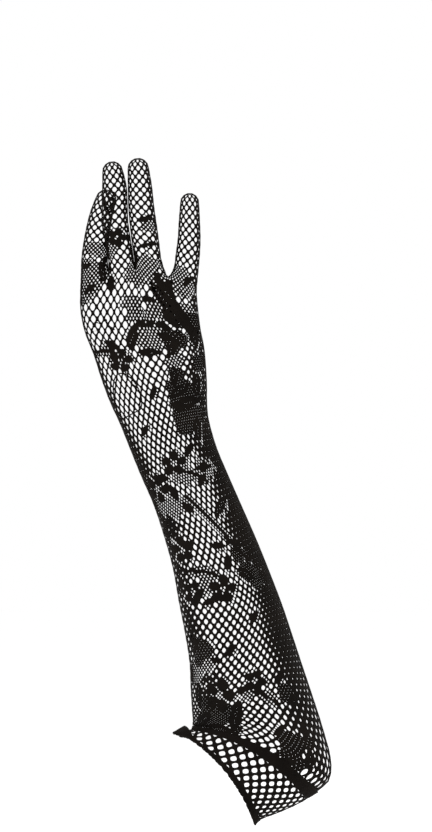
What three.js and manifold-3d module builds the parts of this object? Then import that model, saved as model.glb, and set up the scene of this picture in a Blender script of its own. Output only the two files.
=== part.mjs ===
// A long evening glove of black knitted lace net, in the form it takes on a right hand and a bent arm.
// It is drawn with the back of the hand facing -Y and the fingers up. Lengths are in millimetres.
// The origin is the centre of the wrist. The arm goes in at the lower end, past the bend of the elbow.
import * as THREE from "three";
import { mergeVertices } from "three/addons/utils/BufferGeometryUtils.js";
import Module from "manifold-3d";

const wasm = await Module();
wasm.setup();

// Driving dimensions
const NET_WALL = 1.2; // lace net and plain net
const BAND_WALL = 2; // the two close-knitted bands
const SEAM_GAP = 0.3; // between neighbouring pieces
const ARM_SIDES = 24; // facets round the arm and the hand
const FINGER_SIDES = 12;
const STEPS = 1; // rings for each row of a table
const TIP_STEPS = 2; // rings in a rounded fingertip
const CUFF_COLUMNS = 30; // openings round the plain net cuff
const CUFF_ROWS = 4;
const CUFF_STRAND = 2.4; // width of the cuff's strands
const HAND_ROUNDNESS = 2.5; // exponent of the oval section: 2 is an ellipse
const RUFFLE_WAVES = 9; // small waves of the hem, in the bend of the elbow only
const RUFFLE_HEIGHT = 1.1;
const HEM_SIDES = 72;

// Sections of the arm and the hand, from the rim of the hem up to the roots of the fingers.
// x, y, z: centre. lean: rise of the section towards +X, degrees. half, deep: half width and half depth.
// bow: how far the front and back of the section stand towards the hand.
const ARM = [
  { at: "rim", x: 33.6, y: 3, z: -246.6, lean: -50.2, half: 44.4, deep: 37, bow: 8 },
  { at: "hem", x: 37.2, y: 3, z: -244.8, lean: -48, half: 43.2, deep: 37.5, bow: 8 },
  { at: "cuff", x: 46.9, y: 3, z: -242.2, lean: -40.8, half: 44.6, deep: 38, bow: 8.5 },
  { at: "band", x: 56.7, y: 3, z: -237.9, lean: -32.4, half: 47.8, deep: 39, bow: 9.5 },
  { at: "band top", x: 61.3, y: 3, z: -233.8, lean: -28, half: 50.1, deep: 39.5, bow: 9.5 },
  { at: "elbow", x: 66.5, y: 3, z: -229, lean: -22, half: 52.5, deep: 40, bow: 8 },
  { at: "elbow", x: 66.6, y: 3, z: -221.4, lean: -14.5, half: 51.4, deep: 40, bow: 6 },
  { at: "elbow", x: 64.4, y: 2.5, z: -210.6, lean: -6, half: 47.6, deep: 39, bow: 3 },
  { at: "forearm", x: 60.7, y: 2, z: -196, lean: 3, half: 44.3, deep: 37, bow: 1 },
  { at: "forearm", x: 56.3, y: 1.5, z: -176.6, lean: 9, half: 41.3, deep: 35, bow: 0 },
  { at: "forearm", x: 52.1, y: 1, z: -155.9, lean: 13, half: 38.4, deep: 33, bow: 0 },
  { at: "forearm", x: 46.6, y: 0.5, z: -133.9, lean: 15.5, half: 36.5, deep: 31, bow: 0 },
  { at: "forearm", x: 39.8, y: 0, z: -110.4, lean: 17, half: 34.4, deep: 28, bow: 0 },
  { at: "forearm", x: 32.9, y: 0, z: -86.9, lean: 19, half: 31.9, deep: 25, bow: 0 },
  { at: "forearm", x: 24.5, y: 0, z: -63.5, lean: 21, half: 30.1, deep: 22.5, bow: 0 },
  { at: "forearm", x: 16, y: 0, z: -41.4, lean: 21.5, half: 29, deep: 21, bow: 0 },
  { at: "forearm", x: 7.2, y: 0, z: -20.7, lean: 20.5, half: 29.2, deep: 20.3, bow: 0 },
  { at: "wrist", x: 0, y: 0, z: 0, lean: 17, half: 30.4, deep: 20, bow: 0 },
  { at: "palm", x: -3.6, y: -0.5, z: 13.8, lean: 14, half: 32.4, deep: 19, bow: 0 },
  { at: "palm", x: -7.2, y: -1, z: 27.6, lean: 10, half: 35.5, deep: 18.3, bow: 0 },
  { at: "palm", x: -10.7, y: -1.2, z: 42.8, lean: 7, half: 38, deep: 17.3, bow: 0 },
  { at: "palm", x: -14.1, y: -1.4, z: 58, lean: 4, half: 39.9, deep: 16, bow: 0 },
  { at: "palm", x: -18.8, y: -1.2, z: 73.1, lean: 0, half: 42, deep: 14.5, bow: 0 },
  { at: "knuckles", x: -21.3, y: -0.6, z: 89, lean: -3, half: 42.6, deep: 12.6, bow: 0 },
  { at: "finger roots", x: -21.6, y: 0, z: 104, lean: -6, half: 41.9, deep: 10.8, bow: 0 },
];
const [RIM, HEM_TOP, BAND_FOOT, BAND_TOP, ROOTS] = [0, 1, 3, 4, ARM.length - 1];

// Centre lines of the fingers and the thumb, from inside the hand to the middle of the rounded tip.
// x, y, z: centre. r: radius. root: the row, counted in steps of the table, where the stall starts.
const FINGERS = {
  index_finger: {
    root: 2.3,
    rows: [
      { x: -54.1, y: 0, z: 80, r: 9.6 },
      { x: -53.8, y: 0, z: 95.7, r: 9.8 },
      { x: -53.2, y: 1.5, z: 110, r: 10 },
      { x: -52.8, y: 4.5, z: 122.8, r: 9.5 },
      { x: -51.2, y: 11, z: 138.5, r: 8.8 },
      { x: -48.2, y: 17.5, z: 154.2, r: 8.2 },
      { x: -44.6, y: 20.5, z: 166, r: 7.3 },
    ],
  },
  middle_finger: {
    root: 1.9,
    rows: [
      { x: -31.8, y: -1.5, z: 80, r: 9.3 },
      { x: -31.7, y: -1.5, z: 95.7, r: 9.2 },
      { x: -32.9, y: -1.5, z: 112.1, r: 9 },
      { x: -34.4, y: -1, z: 127, r: 9 },
      { x: -38, y: 0, z: 147.8, r: 9.4 },
      { x: -38.4, y: 1.5, z: 161.4, r: 9.2 },
      { x: -38.6, y: 3, z: 174.6, r: 8.7 },
      { x: -39.9, y: 5, z: 186, r: 7.3 },
    ],
  },
  ring_finger: {
    root: 1.7,
    rows: [
      { x: -12.9, y: -1, z: 80, r: 9.4 },
      { x: -12.5, y: -1, z: 95.7, r: 9.5 },
      { x: -13.6, y: -1, z: 112.1, r: 9.5 },
      { x: -15.3, y: -0.5, z: 127, r: 9.5 },
      { x: -17.4, y: 0.5, z: 143, r: 9.6 },
      { x: -19.3, y: 2, z: 159, r: 9.2 },
      { x: -20.4, y: 4, z: 174.6, r: 8.6 },
      { x: -21.6, y: 6.5, z: 188.2, r: 7.5 },
    ],
  },
  little_finger: {
    root: 1.55,
    rows: [
      { x: 9.3, y: 1.5, z: 80, r: 9 },
      { x: 10.2, y: 1.5, z: 94.3, r: 9.1 },
      { x: 12, y: 2, z: 108, r: 9 },
      { x: 13.4, y: 2.5, z: 122.8, r: 8.7 },
      { x: 14.7, y: 3.5, z: 137, r: 8.1 },
      { x: 14.9, y: 5, z: 150, r: 7.5 },
      { x: 15.1, y: 7, z: 164, r: 6.6 },
    ],
  },
  thumb: {
    root: 2,
    rows: [
      { x: -24, y: 5, z: 14, r: 11.3 },
      { x: -31.5, y: 16, z: 28, r: 10.8 },
      { x: -39, y: 24, z: 43, r: 10.1 },
      { x: -44, y: 27, z: 59, r: 9.4 },
      { x: -46.5, y: 28, z: 73, r: 8.3 },
    ],
  },
};

const LACE = new THREE.MeshStandardMaterial({ color: 0x14110f, roughness: 0.85, metalness: 0 });
const PLAIN_NET = new THREE.MeshStandardMaterial({ color: 0x171311, roughness: 0.85, metalness: 0 });
const CLOSE_KNIT = new THREE.MeshStandardMaterial({ color: 0x0d0c0b, roughness: 0.7, metalness: 0 });

// A table's columns at a place between its rows, by a Catmull-Rom spline through them.
function rowAt(rows, place) {
  const last = rows.length - 1;
  const i = Math.min(Math.max(Math.floor(place), 0), last - 1);
  const t = place - i;
  const near = [i - 1, i, i + 1, i + 2].map((k) => rows[Math.min(Math.max(k, 0), last)]);
  const row = {};
  for (const column of Object.keys(rows[0])) {
    const [a, b, c, d] = near.map((r) => r[column]);
    if (typeof b !== "number") continue;
    const bend = (2 * a - 5 * b + 4 * c - d) * t * t + (3 * b - a - 3 * c + d) * t * t * t;
    row[column] = b + 0.5 * ((c - a) * t + bend);
  }
  return row;
}

// Evenly spread places from one row to another, ends included.
function places(from, to, steps) {
  return Array.from({ length: steps + 1 }, (_, k) => from + ((to - from) * k) / steps);
}

// A point of the arm's section at an angle from its front, turning towards +X.
// It is set in by inset and moved by shift along the arm, towards the hand.
function armPoint(row, angle, inset, shift = 0) {
  const lean = THREE.MathUtils.degToRad(row.lean);
  const handShare = THREE.MathUtils.smoothstep(row.z, -10, 60);
  const power = 2 / THREE.MathUtils.lerp(2, HAND_ROUNDNESS, handShare);
  const side = Math.sign(Math.sin(angle)) * Math.abs(Math.sin(angle)) ** power;
  const front = Math.sign(Math.cos(angle)) * Math.abs(Math.cos(angle)) ** power;
  const across = (row.half - inset) * side;
  const along = row.bow * Math.cos(angle) ** 2 + shift;
  return new THREE.Vector3(
    row.x + across * Math.cos(lean) - along * Math.sin(lean),
    row.y - (row.deep - inset) * front,
    row.z + across * Math.sin(lean) + along * Math.cos(lean),
  );
}

function angles(count, turn = 0) {
  return Array.from({ length: count }, (_, k) => ((k + turn) / count) * 2 * Math.PI);
}

function armRing(place, inset, shift = 0) {
  const row = rowAt(ARM, place);
  return angles(ARM_SIDES).map((angle) => armPoint(row, angle, inset, shift));
}

// A ring of a finger at a place of its table; rise is how far it lies along the finger from there.
function fingerRing(rows, place, inset, rise = 0, share = 1) {
  const row = rowAt(rows, place);
  const [back, ahead] = [rowAt(rows, place - 0.05), rowAt(rows, place + 0.05)];
  const axis = new THREE.Vector3(ahead.x - back.x, ahead.y - back.y, ahead.z - back.z).normalize();
  const right = new THREE.Vector3(1, 0, 0).addScaledVector(axis, -axis.x).normalize();
  const front = new THREE.Vector3().crossVectors(right, axis).normalize();
  const centre = new THREE.Vector3(row.x, row.y, row.z).addScaledVector(axis, rise);
  const radius = (row.r - inset) * share;
  return angles(FINGER_SIDES).map((angle) =>
    centre
      .clone()
      .addScaledVector(front, radius * Math.cos(angle))
      .addScaledVector(right, radius * Math.sin(angle)),
  );
}

// Rings of a finger from a place of its table to the end of its rounded tip.
function fingerRings({ rows }, from, inset) {
  const last = rows.length - 1;
  const rings = places(from, last, Math.round((last - from) * STEPS)).map((place) =>
    fingerRing(rows, place, inset),
  );
  const radius = rows[last].r - inset;
  for (let k = 1; k <= TIP_STEPS; k++) {
    const turn = (k / (TIP_STEPS + 0.6)) * (Math.PI / 2);
    rings.push(fingerRing(rows, last, inset, radius * Math.sin(turn), Math.cos(turn)));
  }
  return rings;
}

function geometryOf(points, triangles) {
  const position = new Float32Array(points.flatMap((p) => [p.x, p.y, p.z]));
  return new THREE.BufferGeometry()
    .setAttribute("position", new THREE.BufferAttribute(position, 3))
    .setIndex(triangles);
}

// Triangles of the wall between two neighbouring rings, which start at points a and b of the list.
function wallBetween(a, b, count) {
  return angles(count).flatMap((_, k) => {
    const next = (k + 1) % count;
    return [a + k, a + next, b + next, a + k, b + next, b + k];
  });
}

// A closed solid through a stack of rings, with a fan across each end.
function solidThrough(rings) {
  const count = rings[0].length;
  const points = rings.flat();
  const triangles = rings.slice(1).flatMap((_, k) => wallBetween(k * count, (k + 1) * count, count));
  for (const [ring, first, turned] of [
    [rings[0], 0, true],
    [rings.at(-1), points.length - count, false],
  ]) {
    const middle = points.length;
    points.push(ring.reduce((sum, p) => sum.add(p), new THREE.Vector3()).divideScalar(count));
    for (let k = 0; k < count; k++) {
      const [a, b] = [first + k, first + ((k + 1) % count)];
      triangles.push(middle, turned ? b : a, turned ? a : b);
    }
  }
  return geometryOf(points, triangles);
}

// A tube open at both ends: rings along its outside, then along its inside.
function tubeBetween(outer, inner) {
  const count = outer[0].length;
  const loop = [...outer, ...inner.toReversed()];
  const triangles = loop.flatMap((_, k) =>
    wallBetween(k * count, ((k + 1) % loop.length) * count, count),
  );
  return geometryOf(loop.flat(), triangles);
}

// A stall open at its foot: rings along its outside to the tip, then back along its inside.
function stallBetween(outer, inner) {
  const count = outer[0].length;
  const points = [...outer, ...inner].flat();
  const innerStart = outer.length * count;
  const walls = [...Array(outer.length - 1).keys()];
  const triangles = [
    ...walls.flatMap((k) => wallBetween(k * count, (k + 1) * count, count)),
    ...walls.flatMap((k) =>
      wallBetween(innerStart + (k + 1) * count, innerStart + k * count, count),
    ),
    ...wallBetween(innerStart, 0, count),
  ];
  for (const [rings, turned] of [
    [outer, false],
    [inner, true],
  ]) {
    const first = (turned ? innerStart : 0) + (outer.length - 1) * count;
    const middle = points.length;
    points.push(rings.at(-1).reduce((sum, p) => sum.add(p), new THREE.Vector3()).divideScalar(count));
    for (let k = 0; k < count; k++) {
      const [a, b] = [first + k, first + ((k + 1) % count)];
      triangles.push(middle, turned ? b : a, turned ? a : b);
    }
  }
  return geometryOf(points, triangles);
}

function manifoldOf(geometry) {
  const merged = mergeVertices(geometry, 1e-4);
  return new wasm.Manifold(
    new wasm.Mesh({
      numProp: 3,
      vertProperties: merged.attributes.position.array,
      triVerts: new Uint32Array(merged.index.array),
    }),
  );
}

function geometryFrom(manifold) {
  const mesh = manifold.getMesh();
  return new THREE.BufferGeometry()
    .setAttribute("position", new THREE.BufferAttribute(mesh.vertProperties, 3))
    .setIndex(new THREE.BufferAttribute(mesh.triVerts, 1));
}

// The lace body: the sleeve and the hand, with a short open root for each finger and for the thumb.
function laceBody() {
  const armRings = (from, to, inset, foot) =>
    places(from, to, (ROOTS - BAND_TOP) * STEPS).map((place) =>
      armRing(place, inset, place === from ? foot : 0),
    );
  const outside = armRings(BAND_TOP, ROOTS, 0, SEAM_GAP / 2);
  const inside = armRings(BAND_TOP, ROOTS - 0.12, NET_WALL, -2);
  let outer = manifoldOf(solidThrough(outside));
  let inner = manifoldOf(solidThrough(inside));
  for (const { rows, root } of Object.values(FINGERS)) {
    const stub = (to, inset) => places(0, to, 4).map((place) => fingerRing(rows, place, inset));
    outer = outer.add(manifoldOf(solidThrough(stub(root, 0))));
    inner = inner.add(manifoldOf(solidThrough(stub(root + 0.2, NET_WALL))));
  }
  return geometryFrom(outer.subtract(inner));
}

// A stall for one finger, open at the root and closed at the tip.
function fingerStall(finger) {
  const { rows, root } = finger;
  const [a, b] = [rowAt(rows, root - 0.1), rowAt(rows, root + 0.1)];
  const rowLength = Math.hypot(b.x - a.x, b.y - a.y, b.z - a.z) / 0.2;
  const from = root + SEAM_GAP / rowLength;
  return stallBetween(fingerRings(finger, from, 0), fingerRings(finger, from, NET_WALL));
}

// A close-knitted band round the arm, between two places of the arm's table.
function closeBand(from, to) {
  const rings = (inset) => [
    armRing(from, inset, SEAM_GAP / 2),
    armRing((from + to) / 2, inset),
    armRing(to, inset, -SEAM_GAP / 2),
  ];
  return tubeBetween(rings(-(BAND_WALL - NET_WALL) / 2), rings((BAND_WALL + NET_WALL) / 2));
}

// The hem: a close-knitted band whose rim is drawn into small waves in the bend of the elbow.
function hemBand() {
  const ring = (place, inset, ruffle, shift) => {
    const row = rowAt(ARM, place);
    return angles(HEM_SIDES).map((angle) => {
      const inBend = THREE.MathUtils.smoothstep(-Math.sin(angle), 0.2, 0.9);
      const wave = ruffle * RUFFLE_HEIGHT * inBend * Math.cos(RUFFLE_WAVES * 2 * angle);
      return armPoint(row, angle, inset - wave, shift);
    });
  };
  const rings = (inset) => [
    ring(RIM, inset, 1, 0),
    ring((RIM + HEM_TOP) / 2, inset, 0.6, 0),
    ring(HEM_TOP, inset, 0, -SEAM_GAP / 2),
  ];
  return tubeBetween(rings(-(BAND_WALL - NET_WALL) / 2), rings((BAND_WALL + NET_WALL) / 2));
}

// The plain net cuff: rings of knots joined by strands, with a diamond opening between four knots.
function netCuff() {
  const levels = places(HEM_TOP, BAND_FOOT, CUFF_ROWS + 1);
  const knot = (level, k, inset) => {
    const angle = ((k + (level % 2) / 2) / CUFF_COLUMNS) * 2 * Math.PI;
    const shift = level === 0 ? SEAM_GAP / 2 : level > CUFF_ROWS ? -SEAM_GAP / 2 : 0;
    return armPoint(rowAt(ARM, levels[level]), angle, inset, shift);
  };
  const points = [];
  const triangles = [];
  const place = (p) => points.push(p) - 1;
  const quad = (a, b, c, d) => triangles.push(a, b, c, a, c, d);
  const knots = levels.map((_, level) =>
    [0, NET_WALL].map((inset) =>
      [...Array(CUFF_COLUMNS).keys()].map((k) => place(knot(level, k, inset))),
    ),
  );
  const at = (level, face, k) => knots[level][face][(k + CUFF_COLUMNS) % CUFF_COLUMNS];
  for (let level = 1; level <= CUFF_ROWS; level++) {
    for (let k = 0; k < CUFF_COLUMNS; k++) {
      const beside = k + (level % 2);
      const corners = [0, 1].map((face) => [
        at(level - 1, face, beside),
        at(level, face, k + 1),
        at(level + 1, face, beside),
        at(level, face, k),
      ]);
      const holes = corners.map((corner) => {
        const middle = new THREE.Vector3();
        corner.forEach((c) => middle.addScaledVector(points[c], 1 / 4));
        return corner.map((c) => {
          const spoke = points[c].clone().sub(middle);
          const share = Math.max(1 - (CUFF_STRAND * Math.SQRT1_2) / spoke.length(), 0.2);
          return place(middle.clone().addScaledVector(spoke, share));
        });
      });
      for (let side = 0; side < 4; side++) {
        const next = (side + 1) % 4;
        quad(corners[0][side], corners[0][next], holes[0][next], holes[0][side]);
        quad(corners[1][next], corners[1][side], holes[1][side], holes[1][next]);
        quad(holes[0][side], holes[0][next], holes[1][next], holes[1][side]);
      }
    }
  }
  for (let k = 0; k < CUFF_COLUMNS; k++) {
    const top = CUFF_ROWS + 1;
    const [above, below] = [k, k + (top % 2)];
    triangles.push(at(0, 0, k), at(0, 0, k + 1), at(1, 0, above));
    triangles.push(at(0, 1, k + 1), at(0, 1, k), at(1, 1, above));
    triangles.push(at(top, 0, k + 1), at(top, 0, k), at(top - 1, 0, below));
    triangles.push(at(top, 1, k), at(top, 1, k + 1), at(top - 1, 1, below));
    quad(at(0, 1, k), at(0, 1, k + 1), at(0, 0, k + 1), at(0, 0, k));
    quad(at(top, 0, k), at(top, 0, k + 1), at(top, 1, k + 1), at(top, 1, k));
  }
  return geometryOf(points, triangles);
}

const glove = new THREE.Group();
function addPiece(name, geometry, material) {
  const mesh = new THREE.Mesh(geometry, material);
  mesh.name = name;
  glove.add(mesh);
}

addPiece("lace_body", laceBody(), LACE);
for (const [name, finger] of Object.entries(FINGERS)) addPiece(name, fingerStall(finger), LACE);
addPiece("elbow_band", closeBand(BAND_FOOT, BAND_TOP), CLOSE_KNIT);
addPiece("net_cuff", netCuff(), PLAIN_NET);
addPiece("hem_band", hemBand(), CLOSE_KNIT);

export default glove;
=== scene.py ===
"""An evening glove of black knitted lace net, held up in the form it takes on a hand and a bent arm.

The net is worked out in three steps. A lattice of quads is laid over the arm, the hand and the
fingers, with the columns running unbroken up into each finger. Every second corner of the lattice
is a knot, and the corners between them are the middles of the openings. Then each opening gets its
round edge and each strand its round section, and the flowers and leaves are worked by splitting
the openings in four and closing them.

Lengths are in millimetres up to the function that makes a mesh, which turns them into metres.
"""

import math

import bpy
import numpy as np
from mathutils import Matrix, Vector


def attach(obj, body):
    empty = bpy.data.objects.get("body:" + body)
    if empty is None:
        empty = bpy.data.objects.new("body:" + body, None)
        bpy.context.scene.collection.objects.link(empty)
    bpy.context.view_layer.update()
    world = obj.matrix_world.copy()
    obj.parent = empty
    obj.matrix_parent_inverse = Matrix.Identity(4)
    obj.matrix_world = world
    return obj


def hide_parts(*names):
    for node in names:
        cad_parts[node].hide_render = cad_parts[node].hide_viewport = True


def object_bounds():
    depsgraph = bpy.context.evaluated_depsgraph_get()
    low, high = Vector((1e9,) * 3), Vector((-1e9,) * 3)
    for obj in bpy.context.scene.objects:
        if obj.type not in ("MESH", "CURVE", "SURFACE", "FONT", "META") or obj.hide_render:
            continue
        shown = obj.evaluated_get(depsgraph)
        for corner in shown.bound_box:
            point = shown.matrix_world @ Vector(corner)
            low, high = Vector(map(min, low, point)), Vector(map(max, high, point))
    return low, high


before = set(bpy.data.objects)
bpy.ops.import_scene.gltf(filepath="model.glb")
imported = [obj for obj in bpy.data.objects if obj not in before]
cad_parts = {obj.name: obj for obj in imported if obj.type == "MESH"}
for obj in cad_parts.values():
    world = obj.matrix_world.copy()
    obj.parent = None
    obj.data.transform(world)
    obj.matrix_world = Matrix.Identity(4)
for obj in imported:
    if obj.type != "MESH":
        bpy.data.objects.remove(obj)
cad_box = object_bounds()

MM = 0.001

# Sections of the arm and the hand, from the rim of the hem up to the roots of the fingers: x, y, z,
# rise towards +X in degrees, half width, half depth, bow towards the hand
ARM = np.array([
    (33.6, 3, -246.6, -50.2, 44.4, 37, 8),
    (37.2, 3, -244.8, -48, 43.2, 37.5, 8),
    (46.9, 3, -242.2, -40.8, 44.6, 38, 8.5),
    (56.7, 3, -237.9, -32.4, 47.8, 39, 9.5),
    (61.3, 3, -233.8, -28, 50.1, 39.5, 9.5),
    (66.5, 3, -229, -22, 52.5, 40, 8),
    (66.6, 3, -221.4, -14.5, 51.4, 40, 6),
    (64.4, 2.5, -210.6, -6, 47.6, 39, 3),
    (60.7, 2, -196, 3, 44.3, 37, 1),
    (56.3, 1.5, -176.6, 9, 41.3, 35, 0),
    (52.1, 1, -155.9, 13, 38.4, 33, 0),
    (46.6, 0.5, -133.9, 15.5, 36.5, 31, 0),
    (39.8, 0, -110.4, 17, 34.4, 28, 0),
    (32.9, 0, -86.9, 19, 31.9, 25, 0),
    (24.5, 0, -63.5, 21, 30.1, 22.5, 0),
    (16, 0, -41.4, 21.5, 29, 21, 0),
    (7.2, 0, -20.7, 20.5, 29.2, 20.3, 0),
    (0, 0, 0, 17, 30.4, 20, 0),
    (-3.6, -0.5, 13.8, 14, 32.4, 19, 0),
    (-7.2, -1, 27.6, 10, 35.5, 18.3, 0),
    (-10.7, -1.2, 42.8, 7, 38, 17.3, 0),
    (-14.1, -1.4, 58, 4, 39.9, 16, 0),
    (-18.8, -1.2, 73.1, 0, 42, 14.5, 0),
    (-21.3, -0.6, 89, -3, 42.6, 12.6, 0),
    (-21.6, 0, 104, -6, 41.9, 10.8, 0),
])
RIM, HEM_TOP, BAND_FOOT, BAND_TOP, WRIST, ROOTS = 0, 1, 3, 4, 17, 24

# Centre lines of the fingers and the thumb, from inside the hand to the rounded tip: x, y, z, radius
FINGERS = {
    "index_finger": np.array([
        (-54.1, 0, 80, 9.6), (-53.8, 0, 95.7, 9.8), (-53.2, 1.5, 110, 10), (-52.8, 4.5, 122.8, 9.5),
        (-51.2, 11, 138.5, 8.8), (-48.2, 17.5, 154.2, 8.2), (-44.6, 20.5, 166, 7.3),
    ]),
    "middle_finger": np.array([
        (-31.8, -1.5, 80, 9.3), (-31.7, -1.5, 95.7, 9.2), (-32.9, -1.5, 112.1, 9),
        (-34.4, -1, 127, 9), (-38, 0, 147.8, 9.4), (-38.4, 1.5, 161.4, 9.2),
        (-38.6, 3, 174.6, 8.7), (-39.9, 5, 186, 7.3),
    ]),
    "ring_finger": np.array([
        (-12.9, -1, 80, 9.4), (-12.5, -1, 95.7, 9.5), (-13.6, -1, 112.1, 9.5),
        (-15.3, -0.5, 127, 9.5), (-17.4, 0.5, 143, 9.6), (-19.3, 2, 159, 9.2),
        (-20.4, 4, 174.6, 8.6), (-21.6, 6.5, 188.2, 7.5),
    ]),
    "little_finger": np.array([
        (9.3, 1.5, 80, 9), (10.2, 1.5, 94.3, 9.1), (12, 2, 108, 9), (13.4, 2.5, 122.8, 8.7),
        (14.7, 3.5, 137, 8.1), (14.9, 5, 150, 7.5), (15.1, 7, 164, 6.6),
    ]),
}
THUMB = np.array([
    (-24, 5, 14, 11.3), (-31.5, 16, 28, 10.8), (-39, 24, 43, 10.1), (-44, 27, 59, 9.4),
    (-46.5, 28, 73, 8.3),
])

# A table of two lists gives heights, or places across in x, and what applies there

# The knitted lattice
COLUMNS = 88  # round the arm
ROOT_COLUMNS = 72  # round the hand at the roots of the fingers
# Where four columns end, two on the front and two on the back: height, share of the way across
NARROWINGS = [(42, 0.56), (56, 0.3), (68, 0.74), (82, 0.5)]
RELAX_FROM, EVEN_ROUNDS = -60, 400  # above this height the columns are evened out round them
FINGER_COLUMNS = 24  # round a finger
FINGER_SPAN = 8  # of those, across the front of a finger, and as many across its back
WEB_SPAN = 4  # and across each side, where two fingers share them at the web
FINGER_STRETCH = 0.16  # how much wider they are set on the front and the back
ROW_PITCH = [-234, -120, -20, 50, 104], [3.4, 3.65, 4.2, 3.9, 3.5]
FINGER_ROW = 3.3
SPREAD = [-230, -190, -150, -90, 20], [-0.04, 0, 0.05, 0.06, 0.05]  # of the columns, in radians
TWIST = [-225, -180, -122, -60, 10, 60], [0, 6, 13, 8, 1, 0]  # towards +X
WANDER = {"size": 0.03, "waves": 21, "skew": 2.3}  # of the columns, in radians
SWAY = {"size": 0.1, "waves": 13, "skew": -2.9}  # of the rows, in steps of the arm's table
NET_INSET, FINGER_INSET = 0.6, 0.2  # how far inside the glove's outer surface the net's middle lies
WEB_HEIGHT = [-63.5, -42.5, -22.8, -0.4, 20], [109, 112, 113, 107, 101]
WEB_RISE = (1.4, 2, 1.4)  # how far a web's three vertices stand above that
ROOT_LEAD = 2.4  # steps of the arm's table over which the net is led to the fingers' roots
SQUARING, SQUARED_BETWEEN = 0.5, (-10, 60)  # how sections square off, and between what heights
TIP_TURN = 76  # degrees that a finger's net goes round its tip, up to the close-worked cap
SLEEVE_SPLIT, HAND_SPLIT = 30, 62  # rows where the lace body's net is parted into pieces

# The cuff's net and the bands
CUFF_COLUMNS, CUFF_ROW = 66, 4.05
CUFF_LEAD = 0.2  # radians that the cuff's columns lead towards +X, to run square to its rows
NET_LAP, HEM_LAP = 0.25, 0.35  # how far the nets reach under a band, in steps of the arm's table
SEAM_GAP = 0.3
BAND_WALL, BAND_SINK = 2.0, 0.25  # its thickness, and how much of it lies below the net
BAND_FLAT = 0.86  # the share of a band's width that is flat, between its rounded edges
BAND_RIBS, RIB_COLUMNS, RIB_DEPTH = 180, 4, 0.16  # how many, columns of the mesh for each, depth
SCALLOPS, RUFFLES = 40, 14  # round the arm

# The thumb
THUMB_EDGE = 0.24  # share of the thumb's half depth, squared, where its lattice leaves the palm's
THUMB_LOWEST = -20  # height above which the palm's vertices may serve for it
THUMB_OVERLAP = 0.3  # how far into the thumb the palm's net still runs
PALM_SQUARING, PALM_STEP, PALM_ROUNDS = 0.4, 15, 12  # to tell what is inside the palm
SEAM_RADIUS, SEAM_STEPS, SEAM_REACH = 0.5, 120, 2.6  # reach: up the thumb's table

# The yarn: half the width of its strands, and half their thickness
STRAND = [-230, -100, 0, 50, 130], [0.84, 0.82, 0.78, 0.6, 0.56]
# The cuff's strands widen towards the hem, closing its openings: painted shade on top of the yarn's
# width
CUFF_STRAND_AND_SHADE = [-284, -266, -252, -235, -215], [1.7, 1.3, 1.08, 1.0, 1.15]
THUMB_STRAND = [0, 100], [0.52, 0.52]
STRAND_RISE = 0.4
DIMPLE = 0.55  # the middle of a closed opening is this share as thick
ALONG_STRAND = np.array([0, 0.25, 0.5, 0.75, 1])
# Painted shade: openings close towards the sides into dark bands that stand for the shade there
# How far its openings stay whole, towards the thumb's side and the little finger's
OPEN_HEIGHTS = [-240, -215, -190, -165, -150, -120, -90, -60, -40, 0, 40, 75, 110]
THUMB_SIDE = [0.55, 0.5, 0.45, 0.55, 0.66, 0.78, 0.62, 0.46, 0.52, 0.72, 0.8, 0.9, 0.84]
LITTLE_SIDE = [0.5, 0.44, 0.44, 0.5, 0.46, 0.5, 0.36, 0.36, 0.42, 0.36, 0.34, 0.46, 0.72]
CLOSING = 0.2  # half the width over which they close
CLOSED = [-235, -195, -150, -40, 0, 80], [0.5, 0.4, 0.1, 0.1, 0.13, 0.2]
REOPENING, REOPENED = 0.7, (0.84, 0.94)  # how far they open again on the very sides, and where
HOLE_ROUNDNESS = 0.75  # 0 leaves the openings square, 1 makes them oval
LEAST_OPEN = 0.2  # the least share of an opening that its strands leave
CUT_STEPS, LEAST_LEFT = 7, 0.1  # an opening is cut back from a figure in steps, down to a share
TWIST_DEPTH = 0.12  # of the yarn's bump

# How finely curves are followed
PATH_STEPS, ROW_STEPS, TIP_STEPS = 200, 2000, 60
AXIS_STEP = 0.05
SAME_PLACE = 0.002  # vertices nearer than this are joined

FLOOR_REACH, FLOOR_GAP = 14.0, 0.012  # metres

# The photograph's frame on the plane through the wrist
PHOTO_SIZE = (432, 832)
MM_PER_PIXEL = 0.714
WRIST_PIXEL = (168.5, 432)
CAMERA_DISTANCE = 12.0
SENSOR_WIDTH = 36
PHOTO_CENTRE = (
    (PHOTO_SIZE[0] / 2 - WRIST_PIXEL[0]) * MM_PER_PIXEL * MM,
    (WRIST_PIXEL[1] - PHOTO_SIZE[1] / 2) * MM_PER_PIXEL * MM,
)


def unit(vectors):
    return vectors / np.linalg.norm(vectors, axis=-1, keepdims=True)


def smoothstep(x, low, high):
    """0 up to low, 1 from high, and a smooth rise between them."""
    t = np.clip((np.asarray(x, float) - low) / (high - low), 0, 1)
    return t * t * (3 - 2 * t)


def table_at(rows, place):
    """The columns of a table at places between its rows, by a Catmull-Rom spline through them."""
    place = np.asarray(place, float)
    last = len(rows) - 1
    i = np.clip(np.floor(place).astype(int), 0, last - 1)
    t = (place - i)[..., None]
    a, b, c, d = (rows[np.clip(i + k, 0, last)] for k in (-1, 0, 1, 2))
    bend = (2 * a - 5 * b + 4 * c - d) * t**2 + (3 * b - a - 3 * c + d) * t**3
    return b + 0.5 * ((c - a) * t + bend)


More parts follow.
